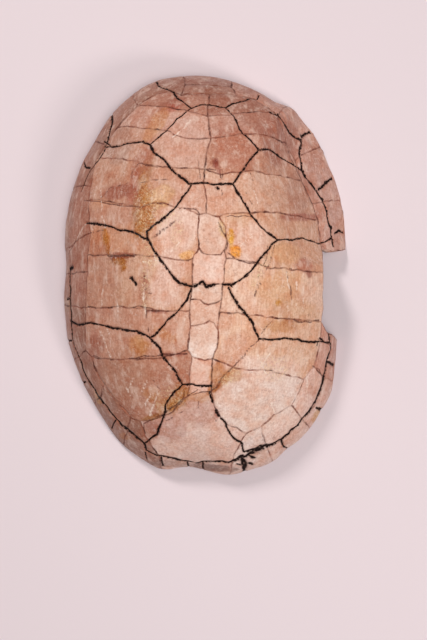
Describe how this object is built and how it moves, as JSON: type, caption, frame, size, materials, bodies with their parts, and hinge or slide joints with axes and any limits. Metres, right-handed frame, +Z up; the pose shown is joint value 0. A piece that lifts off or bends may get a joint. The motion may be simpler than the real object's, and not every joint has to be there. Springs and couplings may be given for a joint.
{
  "type": "turtle shell",
  "caption": "Dry bony carapace of a mud turtle: an oval dome of sutured bones standing on its rim, open below, with a gap in one side.",
  "frame": {"origin": "middle of the shell's bounding box, on the surface that it rests on", "axes": "+Y runs from the head end to the tail end, +Z is up, +X is the left side of the turtle"},
  "size_m": [0.106, 0.149, 0.044],
  "materials": {
    "nuchal_bone": "matt dry bone, greyish pink",
    "neural_bone": "matt dry bone, pale and worn smooth",
    "costal_bone": "matt dry bone, pinkish beige with fine streaks",
    "rear_bone": "matt dry bone, pinkish brown",
    "rim_bone": "matt dry bone, pinkish brown to grey"
  },
  "bodies": {
    "root": {"nuchal": "nuchal_bone", "neural_1": "neural_bone", "neural_2": "neural_bone", "neural_3": "neural_bone", "neural_4": "neural_bone", "neural_5": "neural_bone", "neural_6": "neural_bone", "costal_left_1": "costal_bone", "costal_left_2": "costal_bone", "costal_left_3": "costal_bone", "costal_left_4": "costal_bone", "costal_left_5": "costal_bone", "costal_left_6": "costal_bone", "costal_left_7": "costal_bone", "costal_left_8": "costal_bone", "costal_right_1": "costal_bone", "costal_right_2": "costal_bone", "costal_right_3": "costal_bone", "costal_right_4": "costal_bone", "costal_right_5": "costal_bone", "costal_right_6": "costal_bone", "costal_right_7": "costal_bone", "costal_right_8": "costal_bone", "suprapygal": "rear_bone", "pygal": "rear_bone", "peripheral_left_1": "rim_bone", "peripheral_left_2": "rim_bone", "peripheral_left_3": "rim_bone", "peripheral_left_4": "rim_bone", "peripheral_left_7": "rim_bone", "peripheral_left_8": "rim_bone", "peripheral_left_9": "rim_bone", "peripheral_left_10": "rim_bone", "peripheral_right_1": "rim_bone", "peripheral_right_2": "rim_bone", "peripheral_right_3": "rim_bone", "peripheral_right_4": "rim_bone", "peripheral_right_5": "rim_bone", "peripheral_right_6": "rim_bone", "peripheral_right_7": "rim_bone", "peripheral_right_8": "rim_bone", "peripheral_right_9": "rim_bone", "peripheral_right_10": "rim_bone"}
  },
  "joints": []
}
